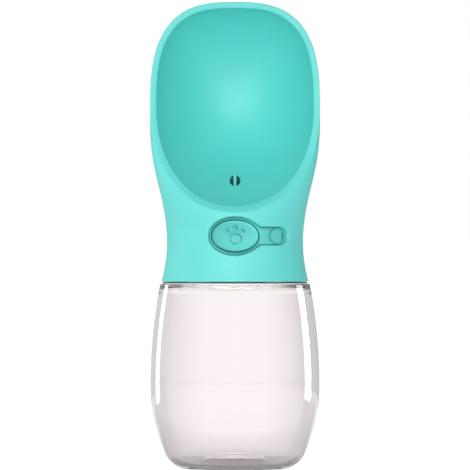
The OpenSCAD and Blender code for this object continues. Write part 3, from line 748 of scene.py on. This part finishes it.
def make_spring():
    """The return spring, with its free end on the button's boss."""
    r = WIRE_D / 2
    steps = 40 * COIL_TURNS
    t = np.linspace(0, 2 * math.pi, 12, endpoint=False)
    start_y = SPRING_FIXED_Y - SPRING_L + r + 0.05
    span = SPRING_L - WIRE_D - 0.1
    rings = []
    for i in range(steps + 1):
        a = 2 * math.pi * COIL_TURNS * i / steps
        y = start_y + span * i / steps
        q = COIL_R + r * np.cos(t)
        rings.append(np.stack([q * math.cos(a), y + r * np.sin(t), BUTTON_Z + q * math.sin(a)], -1))
    return solid_of_rings("coil_spring", rings[0].mean(0), rings, rings[-1].mean(0), 60)


# ---- the bottle ----


def bottle_profile():
    foot_r = BOTTLE_R - BELLY_ARC + math.sqrt((BELLY_ARC - FOOT_ARC) ** 2 - (BELLY_Z - FOOT_ARC) ** 2)
    foot_turn = math.degrees(math.asin((BELLY_Z - FOOT_ARC) / (BELLY_ARC - FOOT_ARC)))
    w = BOTTLE_WALL

    def bump(r):
        return BASE_RISE * float(smooth((foot_r - 1.5 - r) / (0.55 * foot_r)))

    def wall_r(z):
        return BOTTLE_R - (BOTTLE_R - SHOULDER_R) * (max(z - BELLY_Z, 0) / (SHOULDER_Z - BELLY_Z)) ** 2

    edge = 0.9
    top = SHOULDER_Z - edge
    belly = (BOTTLE_R - BELLY_ARC, BELLY_Z)
    points = [(r, bump(r)) for r in np.linspace(0, foot_r - 1, 30)]
    points += arc((foot_r, FOOT_ARC), FOOT_ARC, -90, -foot_turn, 20)
    points += arc(belly, BELLY_ARC, -foot_turn, 0, 24)[1:]
    points += [(wall_r(z), z) for z in np.linspace(BELLY_Z, top, 40)[1:-1]]
    points += arc((wall_r(top) - edge, top), edge, 0, 90, 8)
    points += [(NECK_R + 0.5, SHOULDER_Z)] + arc((NECK_R + 0.5, SHOULDER_Z + 0.5), 0.5, -90, -180, 4)[1:]
    points += arc((NECK_R - 0.5, NECK_TOP - 0.5), 0.5, 0, 90, 4)
    points += arc((MOUTH_R + 0.3, NECK_TOP - 0.3), 0.3, 90, 180, 3)
    in_top = SHOULDER_Z - w
    in_round = 1.2
    points += arc((MOUTH_R + 1, in_top + 1), 1, 180, 270, 4)
    points += arc((wall_r(in_top) - w - in_round, in_top - in_round), in_round, 90, 0, 10)
    points += [(wall_r(z) - w, z) for z in np.linspace(in_top - in_round, BELLY_Z, 36)[1:]]
    points += arc(belly, BELLY_ARC - w, 0, -foot_turn, 24)[1:]
    points += arc((foot_r, FOOT_ARC), FOOT_ARC - w, -foot_turn, -90, 20)[1:]
    points += [(r, bump(r) + w) for r in np.linspace(foot_r - 1, 0, 30)]
    return points


def make_thread():
    """The neck's ridge: a tapered section that climbs one pitch a turn and fades at its ends."""
    steps = round(90 * THREAD_TURNS)
    start_z = SHOULDER_Z + 2.2
    rings = []
    for i in range(steps + 1):
        a = 2 * math.pi * THREAD_TURNS * i / steps
        z = start_z + THREAD_PITCH * a / (2 * math.pi)
        fade = max(min(1, i / 10, (steps - i) / 10), 0.05)
        out = NECK_R + THREAD_DEPTH * fade
        lower = [(NECK_R - 0.4, -0.85), (out - 0.2, -0.5), (out, -0.3)]
        section = lower + [(r, -dz) for r, dz in lower[::-1]]
        rings.append(np.array([(r * math.cos(a), r * math.sin(a), z + dz) for r, dz in section]))
    return solid_of_rings("ridge", rings[0].mean(0), rings, rings[-1].mean(0))


def make_bottle():
    bottle = lathe("clear_bottle", bottle_profile(), 256, 30)
    boolean(bottle, make_thread(), "UNION", 30)
    return bottle


def make_seam_ring():
    """The ring on the shoulder, a hair above it so that the clear plastic keeps its own surface."""
    low, high = SEAL_LOW.z + 0.03, SEAL_HIGH.z
    r_out, r_in = SEAL_HIGH.x, SEAL_R_IN
    edge = 0.2
    profile = [(r_in, low), (r_out - edge, low)]
    profile += arc((r_out - edge, low + edge), edge, -90, 0, 4)[1:]
    profile += arc((r_out - edge, high - edge), edge, 0, 90, 4)
    profile += [(r_in, high)]
    turns = np.linspace(0, 2 * math.pi, 192, endpoint=False)
    points = np.array([(r * math.cos(a), r * math.sin(a), z) for a in turns for r, z in profile])
    m = len(profile)
    faces = []
    for j in range(len(turns)):
        k = (j + 1) % len(turns)
        faces += [(j * m + i, k * m + i, k * m + (i + 1) % m, j * m + (i + 1) % m) for i in range(m)]
    return mesh_object("seam_ring", points, faces)


# ---- materials ----


def new_material(name, **values):
    """A material with one Principled shader whose named sockets are set, and its node tree."""
    material = bpy.data.materials.new(name)
    material.use_nodes = True
    shader = material.node_tree.nodes["Principled BSDF"]
    for socket, value in values.items():
        shader.inputs[socket.replace("_", " ")].default_value = value
    return material, material.node_tree, shader


def add_node(tree, kind, **values):
    node = tree.nodes.new(kind)
    for key, value in values.items():
        if key in node.inputs:
            node.inputs[key].default_value = value
        else:
            setattr(node, key, value)
    return node


def noise(tree, scale, detail=3.0, rough=0.55):
    """Noise in the object's own coordinates, its scale in features a metre."""
    coords = add_node(tree, "ShaderNodeTexCoord")
    texture = add_node(tree, "ShaderNodeTexNoise", Scale=scale, Detail=detail, Roughness=rough)
    tree.links.new(coords.outputs["Object"], texture.inputs["Vector"])
    return texture.outputs["Fac"]


def spread(tree, value, low, high):
    """A value from 0 to 1 taken to the range from low to high."""
    node = add_node(tree, "ShaderNodeMapRange")
    node.inputs["To Min"].default_value = low
    node.inputs["To Max"].default_value = high
    node.inputs["From Min"].default_value = 0.3
    node.inputs["From Max"].default_value = 0.7
    tree.links.new(value, node.inputs["Value"])
    return node.outputs["Result"]


def tint(tree, value, dark, light):
    """A colour between two, by a value from 0 to 1."""
    node = add_node(tree, "ShaderNodeMix", data_type="RGBA")
    for socket in node.inputs:
        if socket.type == "RGBA" and socket.name == "A":
            socket.default_value = (*dark, 1)
        if socket.type == "RGBA" and socket.name == "B":
            socket.default_value = (*light, 1)
    tree.links.new(value, node.inputs[0])
    return [s for s in node.outputs if s.type == "RGBA"][0]


def bump(tree, shader, height, strength, distance):
    node = add_node(tree, "ShaderNodeBump", Strength=strength, Distance=distance)
    tree.links.new(height, node.inputs["Height"])
    tree.links.new(node.outputs["Normal"], shader.inputs["Normal"])


def moulded(name, colour, rough, grain=0.00002, shift=0.03, level=0.5):
    """Moulded plastic: a faint drift of colour and gloss, and a fine grain."""
    material, tree, shader = new_material(name, Specular_IOR_Level=level)
    drift = noise(tree, 45, 2.0)
    dark = tuple(c * (1 - shift) for c in colour)
    light = tuple(min(1, c * (1 + shift)) for c in colour)
    tree.links.new(tint(tree, drift, dark, light), shader.inputs["Base Color"])
    gloss = spread(tree, noise(tree, 160, 4.0), rough - 0.03, rough + 0.03)
    tree.links.new(gloss, shader.inputs["Roughness"])
    bump(tree, shader, noise(tree, 2600, 2.0), 0.35, grain)
    return material


TEAL = (0.09, 0.625, 0.58)
# The button's and the catch's teal is the shell's teal darkened, as painted shade that makes them look darker
# than the shell.
BUTTON_TEAL_SHADED = tuple(c * 0.86 for c in TEAL)


def make_materials():
    """One material for each slot of the record."""
    clear, tree, shader = new_material(
        "clear_plastic",
        Base_Color=(0.997, 0.955, 0.96, 1),
        Roughness=0.02,
        IOR=1.5,
        Transmission_Weight=1,
    )
    bump(tree, shader, noise(tree, 90, 2.0), 0.1, 0.00005)
    return {
        "clear_plastic": clear,
        "teal_plastic": moulded("teal_plastic", TEAL, 0.58, level=0.8),
        # The button's teal carries painted shade: it is a darkened copy of the shell's teal.
        "teal_button": moulded("teal_button", BUTTON_TEAL_SHADED, 0.5, level=0.45),
        "seam_rubber": seam_rubber(),
        "white_plastic": moulded("white_plastic", (0.84, 0.85, 0.85), 0.45),
        "silicone": moulded("silicone", (0.7, 0.73, 0.72), 0.55),
        "black_rubber": moulded("black_rubber", (0.02, 0.02, 0.02), 0.55),
        "screw_steel": steel("screw_steel", 0.32),
        "spring_steel": steel("spring_steel", 0.25),
    }


def seam_rubber():
    """The shoulder's ring: dark teal above, painted shadow of the gap between head and bottle, and pale where
    it meets the clear shoulder, a painted highlight that makes the shoulder look bright.
    """
    # The dark teal is painted shadow: it stands in for the shade in the gap between the head and the bottle.
    material = moulded("seam_rubber", (0.012, 0.05, 0.052), 0.6, 0.00004)
    tree = material.node_tree
    shader = tree.nodes["Principled BSDF"]
    coords = add_node(tree, "ShaderNodeTexCoord")
    split = add_node(tree, "ShaderNodeSeparateXYZ")
    tree.links.new(coords.outputs["Object"], split.inputs[0])
    # Mask between the pale underside, a painted highlight, and the dark upper part, painted shadow.
    share = add_node(tree, "ShaderNodeMapRange")
    share.inputs["From Min"].default_value = (SEAL_LOW.z + 0.25) * MM
    share.inputs["From Max"].default_value = (SEAL_LOW.z + 0.35) * MM
    tree.links.new(split.outputs["Z"], share.inputs["Value"])
    old = shader.inputs["Base Color"].links[0].from_socket
    # Pale below as a painted highlight on the clear shoulder, dark teal above as painted shadow in the gap.
    shadow_and_highlight_colour = tint(tree, share.outputs["Result"], (0.85, 0.87, 0.87), (0, 0, 0))
    tree.links.new(old, [i for i in shadow_and_highlight_colour.node.inputs if i.type == "RGBA" and i.name == "B"][0])
    tree.links.new(shadow_and_highlight_colour, shader.inputs["Base Color"])
    return material


def steel(name, rough):
    material, tree, shader = new_material(name, Base_Color=(0.6, 0.6, 0.62, 1), Metallic=1)
    gloss = spread(tree, noise(tree, 700, 4.0), rough - 0.06, rough + 0.08)
    tree.links.new(gloss, shader.inputs["Roughness"])
    bump(tree, shader, noise(tree, 3000, 2.0), 0.3, 0.00001)
    return material


def dress(obj, material):
    obj.data.materials.clear()
    obj.data.materials.append(material)


def settle(obj, body, node, slot, materials):
    """Puts a new piece in a node's place: its body and the material of its slot."""
    dress(obj, materials[slot])
    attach(obj, body)
    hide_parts(node)


# ---- studio ----

PHOTO_PX = 470
MM_A_PX = 220 / 467
FRAME_MIDDLE_Z = 110.2
CAMERA_DISTANCE = 4000
AMBIENT = 0.66
CARD_GREY = 0.68
CARD_LEFT = 0.6
CARD_RIGHT = 0.35


def make_camera():
    data = bpy.data.cameras.new("camera")
    data.sensor_width = 36
    data.lens = 36 * CAMERA_DISTANCE / (PHOTO_PX * MM_A_PX)
    data.clip_end = 100
    camera = bpy.data.objects.new("camera", data)
    camera.location = Vector((0, -CAMERA_DISTANCE, FRAME_MIDDLE_Z)) * MM
    camera.rotation_euler = (math.pi / 2, 0, 0)
    bpy.context.scene.collection.objects.link(camera)
    bpy.context.scene.camera = camera


def make_lamp(name, azimuth, elevation, distance, size, radiance, aim=(0, 0, 0.12)):
    """A soft rectangular lamp that faces the object. Azimuth 0 is the camera's side and 90 the right."""
    data = bpy.data.lights.new(name, "AREA")
    data.shape = "RECTANGLE"
    data.size, data.size_y = size
    data.energy = radiance * math.pi * size[0] * size[1]
    lamp = bpy.data.objects.new(name, data)
    lamp.visible_camera = False
    lamp.visible_transmission = False
    a, e = math.radians(azimuth), math.radians(elevation)
    out = Vector((math.sin(a) * math.cos(e), -math.cos(a) * math.cos(e), math.sin(e)))
    lamp.location = Vector(aim) + out * distance
    lamp.rotation_euler = out.to_track_quat("Z", "Y").to_euler()
    bpy.context.scene.collection.objects.link(lamp)
    return lamp


def make_lamps():
    def named(*names):
        return [bpy.data.objects[name] for name in names]

    bottle = named("clear_bottle")
    head = named("head_moulding")
    low_parts = named("keyhole_bezel")
    pressed = named("push_button")
    set_in = bottle + low_parts + pressed
    light_only(make_lamp("key", -3, -4, 1.7, (0.9, 1.0), 6.8), set_in, "EXCLUDE")
    light_only(make_lamp("side_left", -97, 0, 1.6, (0.8, 1.0), 2.2), set_in, "EXCLUDE")
    light_only(make_lamp("side_right", 97, 0, 1.6, (0.8, 1.0), 1.0), set_in, "EXCLUDE")
    light_only(make_lamp("top", 0, 125, 1.6, (1.4, 0.8), 2.5), bottle, "EXCLUDE")
    sheen = make_lamp("sheen", -3, -5, 1.6, (2.4, 1.6), 2.2)
    sheen.visible_diffuse = False
    light_only(sheen, bottle, "EXCLUDE")
    light_only(make_lamp("relief", -38, 36, 1.5, (0.25, 0.25), 6.0), head + named("catch_knob"), "INCLUDE")
    light_only(make_lamp("low_relief", -24, 34, 1.5, (0.2, 0.2), 74.0), low_parts, "INCLUDE")
    light_only(make_lamp("press_light", 46, 36, 1.5, (0.25, 0.25), 85.0), pressed, "INCLUDE")
    light_only(make_lamp("strip_left", -126.5, 0, 0.32, (0.065, 0.34), 6.0, (0, 0, 0.075)), bottle, "INCLUDE")
    light_only(make_lamp("strip_right", 114, 0, 0.32, (0.1, 0.34), 6.0, (0, 0, 0.075)), bottle, "INCLUDE")
    make_spot(head)
    under = make_lamp("shoulder_light", 0, -90, 0.045, (0.05, 0.05), 6.0, (0, 0, SHOULDER_Z * MM))
    under.visible_glossy = False
    light_only(under, named("seam_ring") + [NODES["base_plate"], NODES["neck_gasket"]], "INCLUDE")
    clear = bpy.data.collections.new("shoulder_light_passes")
    under.light_linking.blocker_collection = clear
    clear.objects.link(bottle[0])
    clear.collection_objects[0].light_linking.link_state = "EXCLUDE"


def make_spot(objects):
    """A soft pool of light on the head's lower half."""
    data = bpy.data.lights.new("waist_spot", "SPOT")
    data.spot_size = math.radians(6)
    data.spot_blend = 1
    data.shadow_soft_size = 0.1
    data.energy = 34
    spot = bpy.data.objects.new("waist_spot", data)
    spot.location = (-0.5, -1.62, 0.06)
    spot.rotation_euler = (spot.location - Vector((0, 0, 0.09))).to_track_quat("Z", "Y").to_euler()
    bpy.context.scene.collection.objects.link(spot)
    light_only(spot, objects, "INCLUDE")


def light_only(lamp, objects, state):
    """Links a lamp to some objects, or to all but those. The clear bottle mirrors a lamp as a hard block."""
    group = bpy.data.collections.new(lamp.name + "_" + state.lower())
    lamp.light_linking.receiver_collection = group
    for i, obj in enumerate(objects):
        group.objects.link(obj)
        group.collection_objects[i].light_linking.link_state = state


def make_back_card():
    """A card behind the object that only gloss and clear plastic see: white in the middle, grey beside it."""
    y, half, low, top = 600, 800, 2, 600
    corners = [(-half, y, low), (half, y, low), (half, y, top), (-half, y, top)]
    card = mesh_object("back_card", corners, [(0, 1, 2, 3)])
    material = bpy.data.materials.new("back_card")
    material.use_nodes = True
    tree = material.node_tree
    coords = add_node(tree, "ShaderNodeTexCoord")
    split = add_node(tree, "ShaderNodeSeparateXYZ")
    tree.links.new(coords.outputs["Object"], split.inputs[0])
    through = beside(tree, split.outputs["X"])
    gloss = ramp(tree, split.outputs["X"], (-0.1, 0.1), (CARD_LEFT, CARD_RIGHT))
    path = tree.nodes.new("ShaderNodeLightPath")
    level = add_node(tree, "ShaderNodeMix")
    tree.links.new(path.outputs["Is Transmission Ray"], level.inputs[0])
    tree.links.new(gloss, level.inputs[2])
    tree.links.new(through, level.inputs[3])
    glow = add_node(tree, "ShaderNodeEmission")
    tree.links.new(level.outputs[0], glow.inputs["Strength"])
    tree.links.new(glow.outputs[0], tree.nodes["Material Output"].inputs["Surface"])
    dress(card, material)
    card.visible_camera = False
    card.visible_diffuse = False
    card.visible_shadow = False


def make_side_card():
    """A card at the right that only gloss sees, white at the front and dark behind."""
    x, front, back, low, top = 600, -350, 600, 2, 600
    corners = [(x, front, low), (x, back, low), (x, back, top), (x, front, top)]
    card = mesh_object("side_card", corners, [(0, 1, 2, 3)])
    material = bpy.data.materials.new("side_card")
    material.use_nodes = True
    tree = material.node_tree
    coords = add_node(tree, "ShaderNodeTexCoord")
    split = add_node(tree, "ShaderNodeSeparateXYZ")
    tree.links.new(coords.outputs["Object"], split.inputs[0])
    glow = tree.nodes.new("ShaderNodeEmission")
    level = ramp(tree, split.outputs["Y"], (front * MM, 0.2), (1.0, 0.1))
    tree.links.new(level, glow.inputs["Strength"])
    tree.links.new(glow.outputs[0], tree.nodes["Material Output"].inputs["Surface"])
    dress(card, material)
    card.visible_camera = False
    card.visible_diffuse = False
    card.visible_transmission = False
    card.visible_shadow = False


def beside(tree, x):
    """What clear plastic sees: white straight behind, and a soft grey to both sides."""
    side = add_node(tree, "ShaderNodeMath", operation="ABSOLUTE")
    tree.links.new(x, side.inputs[0])
    return ramp(tree, side.outputs[0], (0.028, 0.115), (1.0, CARD_GREY), "LINEAR")


def times(tree, a, b):
    node = add_node(tree, "ShaderNodeMath", operation="MULTIPLY")
    tree.links.new(a, node.inputs[0])
    tree.links.new(b, node.inputs[1])
    return node.outputs[0]


def ramp(tree, value, start_end, low_high, kind="SMOOTHSTEP"):
    """A value taken smoothly from one range to another."""
    node = add_node(tree, "ShaderNodeMapRange", interpolation_type=kind)
    node.inputs["From Min"].default_value, node.inputs["From Max"].default_value = start_end
    node.inputs["To Min"].default_value, node.inputs["To Max"].default_value = low_high
    tree.links.new(value, node.inputs["Value"])
    return node.outputs["Result"]


def seen_directly(tree, low, high):
    """High where the camera, gloss or clear plastic sees the surface, and low for all other light."""
    path = tree.nodes.new("ShaderNodeLightPath")
    seen = path.outputs["Is Camera Ray"]
    for ray in ("Is Glossy Ray", "Is Transmission Ray"):
        either = add_node(tree, "ShaderNodeMath", operation="MAXIMUM")
        tree.links.new(seen, either.inputs[0])
        tree.links.new(path.outputs[ray], either.inputs[1])
        seen = either.outputs[0]
    level = add_node(tree, "ShaderNodeMapRange")
    level.inputs["To Min"].default_value = low
    level.inputs["To Max"].default_value = high
    tree.links.new(seen, level.inputs["Value"])
    return level.outputs["Result"]


def make_world():
    """Plain grey light on the object, and white where it is seen directly."""
    world = bpy.data.worlds.new("studio")
    world.use_nodes = True
    bpy.context.scene.world = world
    tree = world.node_tree
    background = tree.nodes["Background"]
    background.inputs["Color"].default_value = (1, 1, 1, 1)
    tree.links.new(seen_directly(tree, AMBIENT, 1.0), background.inputs["Strength"])


def make_floor():
    """White where it is seen. Gloss and clear plastic see it darker toward the bottle, with painted shadow
    round and under it.
    """
    size = 100000
    corners = [(-size, -size, 0), (size, -size, 0), (size, size, 0), (-size, size, 0)]
    floor = mesh_object("floor", corners, [(0, 1, 2, 3)])
    material, tree, shader = new_material("floor", Base_Color=(0.9, 0.9, 0.9, 1), Roughness=0.9)
    shader.inputs["Specular IOR Level"].default_value = 0
    coords = add_node(tree, "ShaderNodeTexCoord")
    split = add_node(tree, "ShaderNodeSeparateXYZ")
    tree.links.new(coords.outputs["Object"], split.inputs[0])
    # Darker toward the bottle, as clear plastic sees it.
    near = ramp(tree, split.outputs["Y"], (0.0, 0.6), (0.62, 1.02), "LINEAR")
    radius = add_node(tree, "ShaderNodeVectorMath", operation="LENGTH")
    tree.links.new(coords.outputs["Object"], radius.inputs[0])
    # A painted contact shadow under the bottle, seen through the clear plastic.
    under = ramp(tree, radius.outputs["Value"], (0.026, 0.045), (0.5, 1.0))
    through = times(tree, times(tree, beside(tree, split.outputs["X"]), near), under)
    path = tree.nodes.new("ShaderNodeLightPath")
    # Gloss sees painted shade round the bottle, darker nearer it.
    gloss_level_with_painted_shade = add_node(tree, "ShaderNodeMix")
    gloss_level_with_painted_shade.inputs[2].default_value = 1.1
    tree.links.new(path.outputs["Is Glossy Ray"], gloss_level_with_painted_shade.inputs[0])
    tree.links.new(ramp(tree, radius.outputs["Value"], (0.045, 0.16), (0.2, 1.0)), gloss_level_with_painted_shade.inputs[3])
    level = add_node(tree, "ShaderNodeMix")
    tree.links.new(path.outputs["Is Transmission Ray"], level.inputs[0])
    tree.links.new(gloss_level_with_painted_shade.outputs[0], level.inputs[2])
    tree.links.new(through, level.inputs[3])
    glow = tree.nodes.new("ShaderNodeEmission")
    tree.links.new(level.outputs[0], glow.inputs["Strength"])
    mix = tree.nodes.new("ShaderNodeMixShader")
    tree.links.new(seen_directly(tree, 0, 0.9), mix.inputs[0])
    tree.links.new(shader.outputs[0], mix.inputs[1])
    tree.links.new(glow.outputs[0], mix.inputs[2])
    tree.links.new(mix.outputs[0], tree.nodes["Material Output"].inputs["Surface"])
    dress(floor, material)


# ---- the scene ----

bpy.context.scene.view_settings.view_transform = "Standard"
bpy.context.scene.cycles.max_bounces = 40
bpy.context.scene.cycles.glossy_bounces = 20
bpy.context.scene.cycles.transmission_bounces = 40
make_camera()
make_world()
make_floor()
make_back_card()
make_side_card()

materials = make_materials()
slots = {s["node"]: s["material_slot"] for s in frame["record"]["subparts"]}
for node, obj in NODES.items():
    dress(obj, materials[slots[node]])

settle(make_bottle(), "bottle", "bottle", "clear_plastic", materials)
settle(make_head(), "head", "head_shell", "teal_plastic", materials)
settle(make_bezel(), "head", "button_bezel", "teal_plastic", materials)
settle(make_button(), "button", "button", "teal_button", materials)
settle(make_knob(), "catch", "lock_knob", "teal_button", materials)
settle(make_seam_ring(), "seal_ring", "shoulder_seal", "seam_rubber", materials)
spring = make_spring()
settle(spring, "head", "return_spring", "spring_steel", materials)
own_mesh(spring)
make_lamps()
